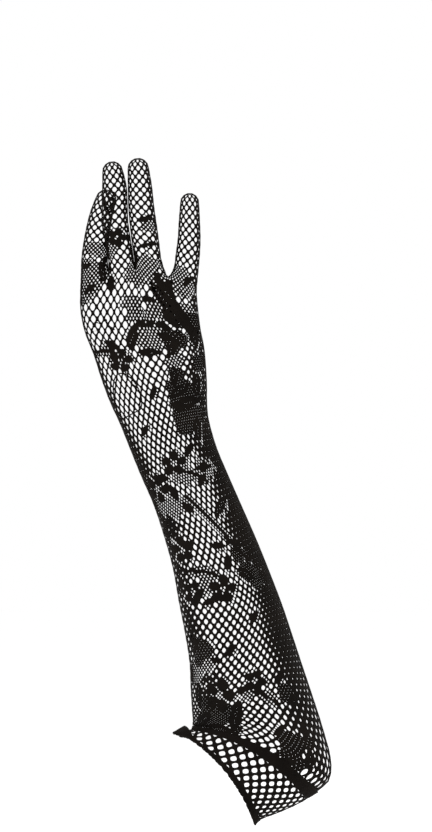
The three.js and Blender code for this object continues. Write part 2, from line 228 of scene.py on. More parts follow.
def arm_point(place, angle, inset=NET_INSET, shift=0.0):
    """Points of the arm's sections at angles from the front, turning towards +X."""
    x, y, z, lean, half, deep, bow = np.moveaxis(table_at(ARM, place + 0 * angle), -1, 0)
    lean = np.radians(lean)
    power = 2 / (2 + SQUARING * smoothstep(z, *SQUARED_BETWEEN))
    side = np.sign(np.sin(angle)) * np.abs(np.sin(angle)) ** power
    front = np.sign(np.cos(angle)) * np.abs(np.cos(angle)) ** power
    across = (half - inset) * side
    along = bow * np.cos(angle) ** 2 + shift
    x = x + across * np.cos(lean) - along * np.sin(lean)
    z = z + across * np.sin(lean) + along * np.cos(lean)
    return np.stack([x, y - (deep - inset) * front, z], axis=-1)


def finger_point(rows, place, angle, turn=0.0, inset=NET_INSET):
    """Points round a finger. turn goes from 0 on its side to a right angle at its tip."""
    place = place + 0 * angle
    row = table_at(rows, place)
    axis = unit((table_at(rows, place + AXIS_STEP) - table_at(rows, place - AXIS_STEP))[..., :3])
    flat = np.hypot(axis[..., 0], axis[..., 2])
    right = np.stack([axis[..., 2] / flat, 0 * flat, -axis[..., 0] / flat], axis=-1)
    radius = row[..., 3] - inset
    reach = radius * np.cos(turn)
    point = row[..., :3] + axis * (radius * np.sin(turn))[..., None]
    point = point + right * (reach * np.sin(angle))[..., None]
    point[..., 1] -= reach * np.cos(angle) / flat
    return point


def path_lengths(path, mirror):
    """Lengths along the columns of a path, made equal on the front and the back."""
    steps = np.linalg.norm(np.diff(path, axis=0), axis=-1)
    length = np.vstack([np.zeros(path.shape[1]), np.cumsum(steps, axis=0)])
    return (length + length[:, mirror]) / 2


def rows_at(path, length, at):
    """Rows of points on a path's columns, at the lengths along them that at gives."""
    rows = np.empty((len(at), path.shape[1], 3))
    for j in range(path.shape[1]):
        for k in range(3):
            rows[:, j, k] = np.interp(at[:, j], length[:, j], path[:, j, k])
    return rows


FINGER_ANGLES = (np.arange(FINGER_COLUMNS) - FINGER_SPAN / 2) * 2 * np.pi / FINGER_COLUMNS
FINGER_ANGLES += FINGER_STRETCH * np.sin(2 * FINGER_ANGLES)
BACK_SPAN = 2 * FINGER_SPAN + WEB_SPAN  # the column where a finger's back ends
FINGER_MIRROR = (BACK_SPAN - np.arange(FINGER_COLUMNS)) % FINGER_COLUMNS


def neighbours(quads):
    """The ends of the quads' edges, each edge both ways round."""
    ends = np.vstack([quads[:, [k, (k + 1) % 4]] for k in range(4)])
    return np.vstack([ends, ends[:, ::-1]])


class Lattice:
    """Quads over the glove. A vertex of even parity is a knot, one of odd parity an opening."""

    def __init__(self):
        self.points, self.parity, self.region, self.quads = [], [], [], []

    def add(self, point, parity, region):
        self.points.append(point)
        self.parity.append(parity % 2)
        self.region.append(region)
        return len(self.points) - 1

    def ring_quads(self, low, high):
        """Quads between two rings of the same number of vertices, low one first."""
        for k in range(len(low)):
            self.quads.append((low[k - 1], low[k], high[k], high[k - 1]))

    def close(self):
        """Turns the lists into arrays and works out the normals."""
        self.points = np.array(self.points, float)
        self.parity, self.region, self.quads = map(np.array, (self.parity, self.region, self.quads))
        self.set_normals()

    def middles(self):
        return self.points[self.quads].mean(axis=1)

    def set_normals(self):
        a, b, c, d = (self.points[self.quads[:, k]] for k in range(4))
        face = np.cross(c - a, d - b)
        normals = np.zeros_like(self.points)
        for k in range(4):
            np.add.at(normals, self.quads[:, k], face)
        length = np.linalg.norm(normals, axis=1, keepdims=True)
        self.normals = normals / np.where(length == 0, 1, length)

    def relax(self, weight, rounds):
        """Draws each vertex towards the middle of its neighbours, by its weight from 0 to 1."""
        start, end = neighbours(self.quads).T
        count = np.bincount(start, minlength=len(self.points))[:, None]
        for _ in range(rounds):
            middle = np.zeros_like(self.points)
            np.add.at(middle, start, self.points[end])
            self.points += weight[:, None] * (middle / count - self.points)


# Pieces of the net, as regions of the lattice
SLEEVE = ["lower_sleeve_net", "upper_sleeve_net", "hand_net"]
REGIONS = [*SLEEVE, *FINGERS]
HAND = SLEEVE.index("hand_net")


def root_ring():
    """The ring at the roots of the fingers, and where each finger's table starts from it."""
    ring = np.zeros((ROOT_COLUMNS, 3))
    hits = np.zeros(ROOT_COLUMNS)
    starts = {}
    for f, (name, rows) in enumerate(FINGERS.items()):
        height = np.interp(rows[1, 0], *WEB_HEIGHT)
        places = np.linspace(0, len(rows) - 1, PATH_STEPS)
        starts[name] = np.interp(height, table_at(rows, places)[:, 2], places)
        for e, point in enumerate(finger_point(rows, starts[name], FINGER_ANGLES)):
            j = finger_to_arm_column(f, e)
            if j is not None:
                ring[j] += point
                hits[j] += 1
    ring /= hits[:, None]
    ring[:, 2] = np.interp(ring[:, 0], *WEB_HEIGHT)
    return ring, starts


def finger_to_arm_column(finger, column):
    """The arm's column below a finger's column, or None for a column that starts at a web."""
    first = WEB_SPAN // 2 + FINGER_SPAN * finger
    if column <= FINGER_SPAN:
        return first + column
    if column < FINGER_SPAN + WEB_SPAN:
        return first + column if finger == 3 else None
    if column <= BACK_SPAN:
        return (-(first + BACK_SPAN - column)) % ROOT_COLUMNS
    return (first + column - FINGER_COLUMNS) % ROOT_COLUMNS if finger == 0 else None


def row_places():
    """Places in the arm's table for the lattice's rows, spread by the pitch at each height."""
    place = np.linspace(BAND_TOP, ROOTS, ROW_STEPS + 1)
    centre = table_at(ARM, place)[:, [0, 2]]
    step = np.linalg.norm(np.diff(centre, axis=0), axis=1)
    pitch = np.interp((centre[1:, 1] + centre[:-1, 1]) / 2, *ROW_PITCH)
    rows = np.concatenate([[0], np.cumsum(step / pitch)])
    count = 2 * round(rows[-1] / 2)
    return np.interp(np.linspace(0, rows[-1], count + 1), rows, place)


def circle(count):
    return np.arange(count) * 2 * np.pi / count


def even_angles(count):
    """Angles of a ring's columns, from the thumb's side round the front and back round the other."""
    return circle(count) - np.pi / 2


def narrow(lattice, low, high, first, between):
    """Quads from a ring to one with four columns fewer. They end beside first and its mirror image."""
    for side in (1, -1):
        a, b = ([ring[side * k % len(ring)] for k in range(len(ring) // 2 + 1)] for ring in (low, high))
        n, c = first, between[side]
        quads = [(a[k], a[k + 1], b[k + 1], b[k]) for k in range(n)]
        quads += [(a[k], a[k + 1], b[k - 1], b[k - 2]) for k in range(n + 3, len(a) - 1)]
        quads += [(a[n], a[n + 1], c[0], b[n]), (a[n + 1], a[n + 2], c[1], c[0])]
        quads += [(a[n + 2], a[n + 3], b[n + 1], c[1]), (c[0], c[1], b[n + 1], b[n])]
        lattice.quads += [quad[::side] for quad in quads]


def arm_lattice(lattice):
    """The rings of the arm and the hand, and each of their vertices' place and even angle."""
    places = row_places()
    heights = table_at(ARM, places)[:, 2]
    ends = {int(np.argmin(np.abs(heights - z))): share for z, share in NARROWINGS}
    place, angle, rings = [], [], []
    columns = COLUMNS
    for i, at in enumerate(places):
        region = (i >= SLEEVE_SPLIT) + (i >= HAND_SPLIT)
        rings.append([lattice.add((0, 0, 0), i + j, region) for j in range(columns)])
        place += [at] * columns
        angle += list(even_angles(columns))
        if i == len(places) - 1:
            break
        if i in ends:
            first = round(ends[i] * columns / 2)
            between = {}
            for side in (1, -1):
                between[side] = [lattice.add((0, 0, 0), i + first + k, region) for k in range(2)]
                place += [(at + places[i + 1]) / 2] * 2
                angle += [angle[rings[-1][side * (first + k) % columns]] for k in (1, 2)]
            ends[i] = (first, between)
            columns -= 4
    for i, (low, high) in enumerate(zip(rings, rings[1:])):
        if i in ends:
            narrow(lattice, low, high, *ends[i])
        else:
            lattice.ring_quads(low, high)
    return rings, np.array(place), np.array(angle)


def even_out(angle, quads, free):
    """Evens out the angles of the free vertices between those of their neighbours."""
    start, end = neighbours(quads).T
    count = np.bincount(start, minlength=len(angle))
    for _ in range(EVEN_ROUNDS):
        turn = np.mod(angle[end] - angle[start] + np.pi, 2 * np.pi) - np.pi
        angle = angle + free * np.bincount(start, turn, minlength=len(angle)) / count
    return angle


def ripple(drift, angle, size, waves, skew):
    """A slow wave up the arm and round it, which fades out towards both ends of the net."""
    fade = smoothstep(drift, 0, 0.1) * (1 - smoothstep(drift, 0.8, 0.95))
    return size * fade * np.sin(waves * drift + skew * np.sin(angle))


def arm_points(place, even, quads, last_ring, root):
    """Points of the arm's and the hand's rings, with the columns led to the roots of the fingers."""
    section = table_at(ARM, place)
    root_line = np.isin(np.arange(len(place)), last_ring)
    even = even_out(even, quads, (section[:, 2] > RELAX_FROM) & ~root_line)
    x, y, z, lean, half, deep, bow = ARM[ROOTS]
    share = np.clip((root[:, 0] - x) / (half - NET_INSET), -1, 1)
    root_angle = np.arcsin(np.sign(share) * np.abs(share) ** (1 + SQUARING / 2))
    root_even = even_angles(ROOT_COLUMNS)
    root_angle = np.where(np.cos(root_even) < -1e-6, np.pi - root_angle, root_angle)
    turn = np.mod(root_angle - root_even + np.pi, 2 * np.pi) - np.pi
    turn = np.interp(even, root_even, turn, period=2 * np.pi)
    blend = smoothstep(place, WRIST, ROOTS)
    spread = np.interp(section[:, 2], *SPREAD) * np.sin(2 * even)
    angle = even + turn * blend - spread * (1 - blend)
    shift = np.interp(section[:, 2], *TWIST) / section[:, 4]
    drift = (place - BAND_TOP) / (ROOTS - BAND_TOP)
    angle = angle + (shift + ripple(drift, angle, **WANDER)) * np.cos(angle)
    swayed = place + ripple(drift, angle, **SWAY)
    points = arm_point(np.where(place == place[0], BAND_TOP - NET_LAP, swayed), angle)
    lead = root - arm_point(ROOTS, root_angle)
    for k in range(3):
        by_angle = np.interp(even, root_even, lead[:, k], period=2 * np.pi)
        points[:, k] += smoothstep(place, ROOTS - ROOT_LEAD, ROOTS) * by_angle
    return points


def add_webs(lattice, starts):
    """The webs between the fingers: three vertices in a row from the front to the back."""
    webs = []
    names = list(FINGERS)
    for left, right in zip(names, names[1:]):
        web = []
        for k, rise in enumerate(WEB_RISE, 1):
            angle = FINGER_ANGLES[FINGER_SPAN + k]
            point = finger_point(FINGERS[left], starts[left], angle)
            point = (point + finger_point(FINGERS[right], starts[right], -angle)) / 2
            point[2] = np.interp(point[0], *WEB_HEIGHT) + rise
            web.append(lattice.add(point, k, HAND))
        webs.append(web)
    return webs


def add_finger(lattice, table, start_place, foot, region):
    """Rings of vertices up a finger from its foot. Returns the last ring and the tip."""
    start = np.array([lattice.points[v] for v in foot])
    last = len(table) - 1.0
    place = np.linspace(start_place, last, PATH_STEPS)
    place = np.concatenate([place, np.full(TIP_STEPS, last)])[:, None]
    turn = np.radians(np.linspace(0, TIP_TURN, TIP_STEPS + 1)[1:])
    turn = np.concatenate([np.zeros(PATH_STEPS), turn])[:, None]
    path = finger_point(table, place, FINGER_ANGLES, turn, FINGER_INSET)
    rise = smoothstep(place, start_place, start_place + 0.9)[..., None]
    path = path + (1 - rise) * (start - path[0])
    front = path[:, FINGER_SPAN // 2]
    count = 2 * round(np.linalg.norm(np.diff(front, axis=0), axis=-1).sum() / FINGER_ROW / 2)
    length = path_lengths(path, FINGER_MIRROR)
    rows = rows_at(path, length, np.linspace(0, 1, count + 1)[:, None] * length[-1])
    ring = foot
    for q in range(1, count + 1):
        above = [lattice.add(rows[q, e], q + e, region) for e in range(FINGER_COLUMNS)]
        lattice.ring_quads(ring, above)
        ring = above
    return ring, finger_point(table, last, 0, np.pi / 2)


def glove_lattice():
    """The whole glove's lattice but the thumb's, and each finger's last ring and tip."""
    lattice = Lattice()
    root, starts = root_ring()
    rings, place, even = arm_lattice(lattice)
    lattice.points = list(arm_points(place, even, np.array(lattice.quads), rings[-1], root))
    webs = add_webs(lattice, starts)
    tips = {}
    for f, (name, table) in enumerate(FINGERS.items()):
        foot = []
        for e in range(FINGER_COLUMNS):
            j = finger_to_arm_column(f, e)
            if j is not None:
                foot.append(rings[-1][j])
            elif e < BACK_SPAN:
                foot.append(webs[f][e - FINGER_SPAN - 1])
            else:
                foot.append(webs[f - 1][FINGER_COLUMNS - 1 - e])
        tips[name] = add_finger(lattice, table, starts[name], foot, REGIONS.index(name))
    lattice.close()

    # Relax the lattice round the roots of the fingers
    z = lattice.points[:, 2]
    lattice.relax(0.5 * smoothstep(z, 84, 100) * (1 - smoothstep(z, 116, 128)), 6)
    lattice.set_normals()
    return lattice, tips


# An opening's size, as a share of the whole one
SOLID, PIN, SMALL, EYE, OPEN = 0.0, 0.15, 0.53, 0.65, 0.8

# The figures' proportions, in millimetres where it says so, else as shares of the figure's size
PETALS = 5
PETAL_FOOT = 0.45  # how far out the petals are still joined
PETAL_ROUND = 0.7  # below 1 rounds their ends
PARTING = 0.35  # width of the gaps between them
EYE_REACH = 0.26
LEAF_HALF, BLADE_HALF, FROND_HALF = 0.37, 0.2, 0.4
FROND_CURVE, STEM_CURVE = 0.18, 0.08
RIB_HALF, STEM_HALF = 0.9, 0.8  # mm
BLOOM_HALO, LEAF_HALO, BLADE_HALO, STEM_HALO = 1.5, 1.8, 1.6, 2  # mm of small openings beside them
RIBBED_FROM = 7.5  # mm, the size from which a leaf shows its rib


def taper(u, size, width):
    """Half the width at a point u along a leaf that is pointed at both ends, 0 beyond them."""
    return width * size * (1 - np.clip(np.abs(u) / size, 0, 1) ** 2)


def near_line(u, v, half_length, half_width):
    return (np.abs(u) < half_length) & (np.abs(v) < half_width)


def bloom(u, v, size):
    """Five parted petals round a middle of small openings, with more round them."""
    radius, angle = np.hypot(u, v), np.arctan2(v, u)
    fan = np.abs(np.cos(PETALS / 2 * angle))
    petal = size * (PETAL_FOOT + (1 - PETAL_FOOT) * fan**PETAL_ROUND)
    eye = radius < EYE_REACH * size
    petals = (radius < petal) & (fan > PARTING)
    return np.select([eye, petals, radius < petal + BLOOM_HALO], [EYE, SOLID, SMALL], OPEN)


def leaf(u, v, size):
    """A pointed leaf with small openings along one side. A large one has a rib of pinpricks."""
    half = taper(u, size, LEAF_HALF)
    rib = near_line(u, v, 0.6 * size, RIB_HALF) & (size > RIBBED_FROM)
    halo = near_line(u, v, size, half + LEAF_HALO) & (v < 0)
    return np.select([rib, near_line(u, v, size, half), halo], [PIN, SOLID, SMALL], OPEN)


def blade(u, v, size):
    """A long narrow leaf with small openings on both sides."""
    half = taper(u, size, BLADE_HALF)
    rib = near_line(u, v, 0.7 * size, RIB_HALF)
    halo = near_line(u, v, size, half + BLADE_HALO)
    return np.select([rib, near_line(u, v, size, half), halo], [PIN, SOLID, SMALL], OPEN)


def frond(u, v, size):
    """A curved leaf of small openings with a close-worked rib."""
    v = v - taper(u, size, FROND_CURVE)
    rib = near_line(u, v, size, RIB_HALF)
    return np.select([rib, near_line(u, v, size, taper(u, size, FROND_HALF))], [SOLID, SMALL], OPEN)


def stem(u, v, size):
    """A slightly curved stem between two lines of small openings."""
    v = v - taper(u, size, STEM_CURVE)
    halo = near_line(u, v, size, STEM_HALF + STEM_HALO)
    return np.select([near_line(u, v, size, STEM_HALF), halo], [SOLID, SMALL], OPEN)


def blob(u, v, size):
    """A close-worked patch with pinprick openings and an uneven edge."""
    edge = size * (1 + 0.15 * np.sin(3 * np.arctan2(v, u) + 1))
    return np.where(np.hypot(u, v) < edge, PIN, OPEN)


def fine(u, v, size):
    """A patch of small openings, a little uneven, with a lobed edge."""
    edge = size * (1 + 0.12 * np.sin(4 * np.arctan2(v, u)))
    share = SMALL + 0.1 * np.sin(1.1 * u) * np.sin(0.9 * v)
    return np.where(np.hypot(u, v) < edge, share, OPEN)


# Where the figures are worked, on both sides of the glove: x and z of the middle, the radius or half
# length, and the turn in degrees for those that have one
FIGURES = {
    bloom: [
        (-37, 139, 6.5, 0), (-34, 51, 8.5, 10), (4, -22.5, 9, 20), (-8, -41, 10, 0), (10, -84, 9.5, 30),
        (18, -115, 8.5, 0), (39, -112.5, 9.5, 15), (62, -178, 8, 0), (36, -188, 12, 0),
    ],
    leaf: [
        (-60, 118, 5, 10), (-57, 102, 5, 30), (-47, 115, 8, 95), (-41, 106, 6, 100), (-25, 124, 8, 95),
        (-7, 108, 7, 110), (-17, 152, 5, 15), (1, 103, 6, 100), (14, 108, 5, 40),
        (-14, 77, 5, 20), (-4, 76, 6, -20), (-26, 68, 10, 80), (-14, 57, 8, 0), (3, 60, 8, 60),
        (-2, 68, 7, -20), (-14, 95, 5, -20), (18, 68, 9, -75), (-20, 78, 5, 30), (-41, 62, 6, 150),
        (13, 21, 11, 15), (8, 30, 9, 35), (4, 40, 8, 95), (20, 34, 9, 85), (8, 18, 8, -20),
        (21, 2, 9, 95), (-11, 28, 5.5, 65), (-17, 1, 5.5, 60),
        (14, -13, 6, 65), (25, -25, 6.5, 10), (24, -34, 6, 60), (-6, -33, 7, 0), (4, -44, 7, -60),
        (-12, -51, 7, 30), (14, -54, 6, -40),
        (37, -53, 9, 60), (35, -81, 6, 0), (-1, -72, 8, 100), (42, -93, 6.5, 90), (55, -101, 8, -30),
        (47, -79, 7, -20), (29, -121, 6, 20), (9, -108, 6, 60), (61, -132, 6, 60),
        (20, -152, 7, 60), (44, -156, 6, 50), (34, -163, 5, 0), (79, -175, 7, 45), (89, -189, 8, 70),
        (53, -184, 6, 20), (22, -188, 10, 95), (24, -206, 11, 20), (48, -203, 12, 80),
        (36, -212, 10, -10), (30, -197, 8, 45), (47, -214, 8, 30), (79, -213, 6, 40),
        (98, -214, 7, 80), (101, -234, 9, 100), (85, -235, 6, -20),
    ],
    blade: [(-1, 99, 15, -58), (1, 81, 10, -45), (11, 81, 15, -62)],
    frond: [
        (-14, 133, 7, 10), (-46, 56, 9, 0), (18, -32, 11, -22), (50, -86, 11, -50),
        (24, -102, 14, -8), (70, -191, 12, -30),
    ],
    stem: [(30, -65, 27, -46)],
    blob: [
        (4, 65, 9), (17, 78, 8), (10, 27, 12), (14, 11, 12), (6, 40, 6), (22, 50, 6), (50, -87, 6),
        (57, -99, 7), (63, -104, 8), (23, -156, 10), (84, -186, 7), (32, -202, 14), (88, -224, 11),
        (95, -238, 7), (100, -222, 6),
    ],
    fine: [
        (-56, 111, 12), (-60, 98, 6), (-53, 131, 6), (-42, 130, 7), (-23, 112, 8), (-14, 117, 9),
        (-13, 148, 6), (6, 112, 8), (12, 103, 7), (-12, 67, 10), (-18, 84, 10.5), (-5, 88, 9),
        (-27, 92, 7), (-4, 101, 7), (8, 84, 10), (4, 49, 8), (25, -28, 9), (4, -54, 8), (11, -31, 8),
        (-5, -52, 8), (28, -110, 6), (27, -163, 8), (20, -172, 9), (58, -188, 5),
    ],
}


class Figures:
    """The figures laid on both sides of a lattice."""

    def __init__(self, lattice):
        self.laid = []
        for draw, places in FIGURES.items():
            for place in places:
                for side in (-1, 1):
                    self.lay(lattice, draw, side, *place)

    def lay(self, lattice, draw, side, x, z, size, turn=0):
        """Lays a figure flat on the net's vertex nearest to x, z that faces one side, -1 or 1."""
        facing = lattice.normals[:, 1] * side > 0
        flat = np.hypot(lattice.points[:, 0] - x, lattice.points[:, 2] - z)
        middle = int(np.argmin(np.where(facing, flat, np.inf)))
        normal = lattice.normals[middle]
        right = np.array([-normal[1], normal[0], 0])
        right *= np.sign(right[0]) / np.linalg.norm(right)
        up = np.cross(right, normal)
        up *= np.sign(up[2])
        cos, sin = math.cos(math.radians(turn)), math.sin(math.radians(turn))
        along = right * cos + up * sin
        across = up * cos - right * sin
        centre = np.array([x, lattice.points[middle, 1], z])
        self.laid.append((draw, centre, along, across, size))

    def share(self, points):
        """How far openings at some points stay open, from SOLID to OPEN."""
        flat = points.reshape(-1, 3)
        share = np.full(len(flat), OPEN)
        for draw, centre, along, across, size in self.laid:
            offset = flat - centre
            reach = 1.3 * size + 2  # a little more than any figure has
            near = np.flatnonzero(np.einsum("ij,ij->i", offset, offset) < reach**2)
            u, v = offset[near] @ along, offset[near] @ across
            share[near] = np.minimum(share[near], draw(u, v, size))
        return share.reshape(points.shape[:-1])

    def cut(self, centre, hole):
        """Draws the edges of some openings in towards their centres, clear of the closed figures."""
        steps = np.linspace(1 / CUT_STEPS, 1, CUT_STEPS)
        spoke = hole - centre[:, None]
        points = centre[:, None, None] + spoke[:, :, None] * steps[:, None]
        clear = np.cumprod(self.share(points) > SOLID, axis=-1).sum(axis=-1) / CUT_STEPS
        return centre[:, None] + spoke * np.maximum(clear, LEAST_LEFT)[..., None]


class Surface:
    """Vertices and faces in the making."""

    def __init__(self):
        self.vertices = []
        self.faces = []
        self.count = 0

    def add(self, points):
        """Adds an array of points of any shape, and gives their numbers in the same shape."""
        points = np.asarray(points, float)
        numbers = self.count + np.arange(points[..., 0].size).reshape(points.shape[:-1])
        self.vertices.append(points.reshape(-1, 3))
        self.count += numbers.size
        return numbers

    def face(self, side, *corners):
        """Adds faces of side 1, or of side -1, where they turn the other way. A triangle is kept as
        a quad with one corner twice.
        """
        corners = (*corners, corners[-1])[:4][::side]
        self.faces.append(np.stack([np.ravel(c) for c in corners], axis=1))

    def ring(self, points):
        """Faces over a grid of points that closes on itself both ways."""
        ids = self.add(points)
        after = np.roll(ids, -1, axis=0)
        self.face(1, ids, np.roll(ids, -1, axis=1), np.roll(after, -1, axis=1), after)

    def piece(self, name, material):
        """A Blender object, with vertices that meet joined and faces that fell flat left out."""
        points = np.vstack(self.vertices)
        cells = np.round(points / SAME_PLACE).astype(np.int64)
        _, first, number = np.unique(cells, axis=0, return_index=True, return_inverse=True)
        faces = number.ravel()[np.vstack(self.faces)]
        same = faces == np.roll(faces, 1, axis=1)
        folded = (faces[:, 0] == faces[:, 2]) | (faces[:, 1] == faces[:, 3])
        quads = faces[~same.any(axis=1) & ~folded]
        one = same.sum(axis=1) == 1
        triangles = faces[one][~same[one]].reshape(-1, 3)
        used = np.unique(np.append(quads, triangles))
        points = points[first][used] * MM
        # What lies further back is spread a little, so that the layers line up from the camera
        points[:, [0, 2]] += (points[:, [0, 2]] - PHOTO_CENTRE) * points[:, 1:2] / CAMERA_DISTANCE
        faces = [face for part in (quads, triangles) for face in np.searchsorted(used, part).tolist()]
        mesh = bpy.data.meshes.new(name)
        mesh.from_pydata(points, [], faces, shade_flat=False)
        mesh.validate()
        mesh.materials.append(material)
        return put_in(name, mesh)


def wedges(lattice, kept):
    """One for each kept quad and opening at its corners: the opening, the strand's knots, the quad."""
    parts = []
    for k in range(4):
        opening, first, last = (lattice.quads[:, (k + s) % 4] for s in (0, 1, 3))
        corners = np.stack([opening, first, last, np.arange(len(opening))], axis=1)
        parts.append(corners[kept & (lattice.parity[opening] == 1)])
    return np.vstack(parts)


def strand_points(lattice, wedge):
    """Points and normals along the strands of some wedges, curved through the quads' middles."""
    u = ALONG_STRAND[None, :, None]
    curves = []
    for field in (lattice.points, lattice.normals):
        start, end = field[wedge[:, 1]], field[wedge[:, 2]]
        middle = field[lattice.quads[wedge[:, 3]]].mean(axis=1)
        curve = start[:, None] * (1 - u) * (1 - 2 * u) + middle[:, None] * 4 * u * (1 - u)
        curves.append(curve + end[:, None] * u * (2 * u - 1))
    return curves[0], unit(curves[1])


# Rings from the top of a strand to the edge of its opening, on the outer and the inner face
RING_SHARES = {1: (0.0, 0.55, 1.0), -1: (0.0, 1.0)}


def strips(surface, edge, normals, hole):
    """The yarn from the middle of a strand to the edge of its opening, on both faces of the net."""
    for side, shares in RING_SHARES.items():
        rings = []
        for share in shares:
            rise = STRAND_RISE * math.sqrt(1 - share**2) * side
            rings.append(surface.add(edge + share * (hole - edge) + rise * normals))
        for outer, inner in zip(rings, rings[1:]):
            surface.face(side, outer[:, :-1], outer[:, 1:], inner[:, 1:], inner[:, :-1])


def side_shade_openness(points, normals):
    """How far openings stay open: whole in the middle, less further out, more on the very sides."""
    # The closing further out is painted shade: dark yarn laid where the sides are in shade
    across, z = normals[:, 0], points[:, 2]
    closing = 0
    for side, edges in ((-1, THUMB_SIDE), (1, LITTLE_SIDE)):
        edge = np.interp(z, OPEN_HEIGHTS, edges)
        closing = np.maximum(closing, smoothstep(side * across, edge - CLOSING, edge + CLOSING))
    closing = closing * (1 - REOPENING * smoothstep(np.abs(across), *REOPENED))
    closed = np.interp(z, *CLOSED)
    return 1 - (1 - closed) * closing


def mean_reaches(lattice, wedge):
    """How many wedges each opening has, and how far its quads' middles are on average."""
    opening = wedge[:, 0]
    reach = np.linalg.norm(lattice.middles()[wedge[:, 3]] - lattice.points[opening], axis=1)
    count = np.bincount(opening, minlength=len(lattice.points))
    return count, np.bincount(opening, reach, minlength=len(count)) / np.maximum(count, 1)


def net(lattice):
    """The net's surfaces by region, open where the thumb joins."""
    figures = Figures(lattice)
    wedge = wedges(lattice, ~in_thumb(lattice.middles()))
    opening = wedge[:, 0]
    count, mean_reach = mean_reaches(lattice, wedge)
    split = ((figures.share(lattice.points) < OPEN) & (count == 4))[opening]
    surfaces = [Surface() for _ in REGIONS]
    for region, surface in enumerate(surfaces):
        here = lattice.region[opening] == region
        add_open_wedges(surface, lattice, figures, wedge[here & ~split], mean_reach)
        add_split_cells(surface, lattice, figures, wedge[here & split])
    return surfaces


def oval_reach(u):
    """How far out an oval in a square is, as a share of the way to the square, along its side."""
    return 1 / np.sqrt(2 * ((1 - u) ** 2 + u**2))


def add_open_wedges(surface, lattice, figures, wedge, mean_reach, strand=STRAND):
    """Whole openings of the net. Where there are no figures, none close towards the sides either."""
    edge, normals = strand_points(lattice, wedge)
    centre = lattice.points[wedge[:, 0]]
    half = np.interp(centre[:, 2], *strand)
    shrink = np.clip(1 - half / mean_reach[wedge[:, 0]], LEAST_OPEN, 1)
    if figures:
        # Painted shade: the openings close towards the sides
        shrink = shrink * side_shade_openness(centre, lattice.normals[wedge[:, 0]])
    shrink = shrink[:, None] * (1 + HOLE_ROUNDNESS * (oval_reach(ALONG_STRAND) - 1))
    hole = centre[:, None] + (edge - centre[:, None]) * shrink[..., None]
    strips(surface, edge, normals, figures.cut(centre, hole) if figures else hole)


def quarter_outline(line, before, after, middle):
    """Points round a quarter of an opening: half a strand, in to the middle, half a strand."""
    start, end = line[after], line[before]
    points = [start[:, 0], start[:, 1], start[:, 2], (start[:, 2] + middle) / 2]
    points += [middle, (middle + end[:, 2]) / 2, end[:, 2], end[:, 3], start[:, 0]]
    return np.stack(points, axis=1)


def add_split_cells(surface, lattice, figures, wedge):
    """Openings split in four quarters, each closed or with a small opening of its own."""
    edge, normals = strand_points(lattice, wedge)
    by_start = {(w[0], w[1]): k for k, w in enumerate(wedge)}
    pairs = [(k, by_start[w[0], w[2]]) for k, w in enumerate(wedge) if (w[0], w[2]) in by_start]
    if not pairs:
        return
    before, after = np.array(pairs).T
    opening = wedge[before, 0]
    outline = quarter_outline(edge, before, after, lattice.points[opening])
    outline_normals = unit(quarter_outline(normals, before, after, lattice.normals[opening]))
    inside = outline[:, :-1].mean(axis=1)
    inside_normal = outline_normals[:, :-1].mean(axis=1)
    share = figures.share(inside)
    oval = oval_reach(np.append(np.tile([0, 0.5], 4), 0))
    worked = share > SOLID
    hole = inside[:, None] + (outline - inside[:, None]) * (share[:, None] * oval)[..., None]
    hole = figures.cut(inside[worked], hole[worked])
    strips(surface, outline[worked], outline_normals[worked], hole)
    solid = ~worked
    for side in (1, -1):
        rim = surface.add((outline + side * STRAND_RISE * outline_normals)[solid])
        top = surface.add((inside + side * DIMPLE * STRAND_RISE * inside_normal)[solid])
        top = np.repeat(top[:, None], rim.shape[1] - 1, axis=1)
        surface.face(side, rim[:, :-1], rim[:, 1:], top)


def plain_surface(lattice, strand, kept=True):
    """The net's surface with no figures in it."""
    surface = Surface()
    wedge = wedges(lattice, kept)
    add_open_wedges(surface, lattice, None, wedge, mean_reaches(lattice, wedge)[1], strand)
    return surface


def cuff_net():
    """The plain net below the elbow band. Its rows follow the band and are cut off by the hem."""
    angle = even_angles(CUFF_COLUMNS)
    place = np.linspace(BAND_FOOT + NET_LAP, HEM_TOP - HEM_LAP, PATH_STEPS)[:, None]
    lead = CUFF_LEAD * (BAND_FOOT - place) / (BAND_FOOT - HEM_TOP)
    path = arm_point(place, angle + lead * np.cos(angle))
    length = path_lengths(path, -np.arange(CUFF_COLUMNS) % CUFF_COLUMNS)
    count = int(np.ceil(length[-1].max() / CUFF_ROW))
    at = np.minimum(np.arange(count + 1)[:, None] * CUFF_ROW, length[-1])
    rows = rows_at(path, length, at)
    cut = (at >= length[-1] - 1e-9).ravel()
    lattice = Lattice()
    rings = [[lattice.add(rows[i, j], i + j, 0) for j in range(CUFF_COLUMNS)] for i in range(count + 1)]
    for high, low in zip(rings, rings[1:]):
        lattice.ring_quads(low, high)
    lattice.quads = [q for q in lattice.quads if not cut[list(q)].all()]
    lattice.close()
    # Its strands' widening towards the hem is painted shade
    return plain_surface(lattice, CUFF_STRAND_AND_SHADE)


def in_palm(points):
    """Whether points lie inside the hand."""
    place = np.full(len(points), float(WRIST + 3))
    for _ in range(PALM_ROUNDS):
        x, y, z, lean, half, deep, bow = table_at(ARM, place).T
        lean = np.radians(lean)
        above = (points[:, 2] - z) * np.cos(lean) - (points[:, 0] - x) * np.sin(lean)
        place = np.clip(place + 0.9 * above / PALM_STEP, WRIST - 3, ROOTS)
    across = (points[:, 0] - x) * np.cos(lean) + (points[:, 2] - z) * np.sin(lean)
    power = 2 + PALM_SQUARING
    return np.abs(across / half) ** power + np.abs((points[:, 1] - y) / deep) ** power < 1


THUMB_LINE = table_at(THUMB, np.linspace(0, len(THUMB) - 1, 80))


def in_thumb(points):
    """Whether points lie inside the thumb."""
    gap = np.linalg.norm(points[:, None] - THUMB_LINE[None, :, :3], axis=2) - THUMB_LINE[:, 3]
    return gap.min(axis=1) < -THUMB_OVERLAP


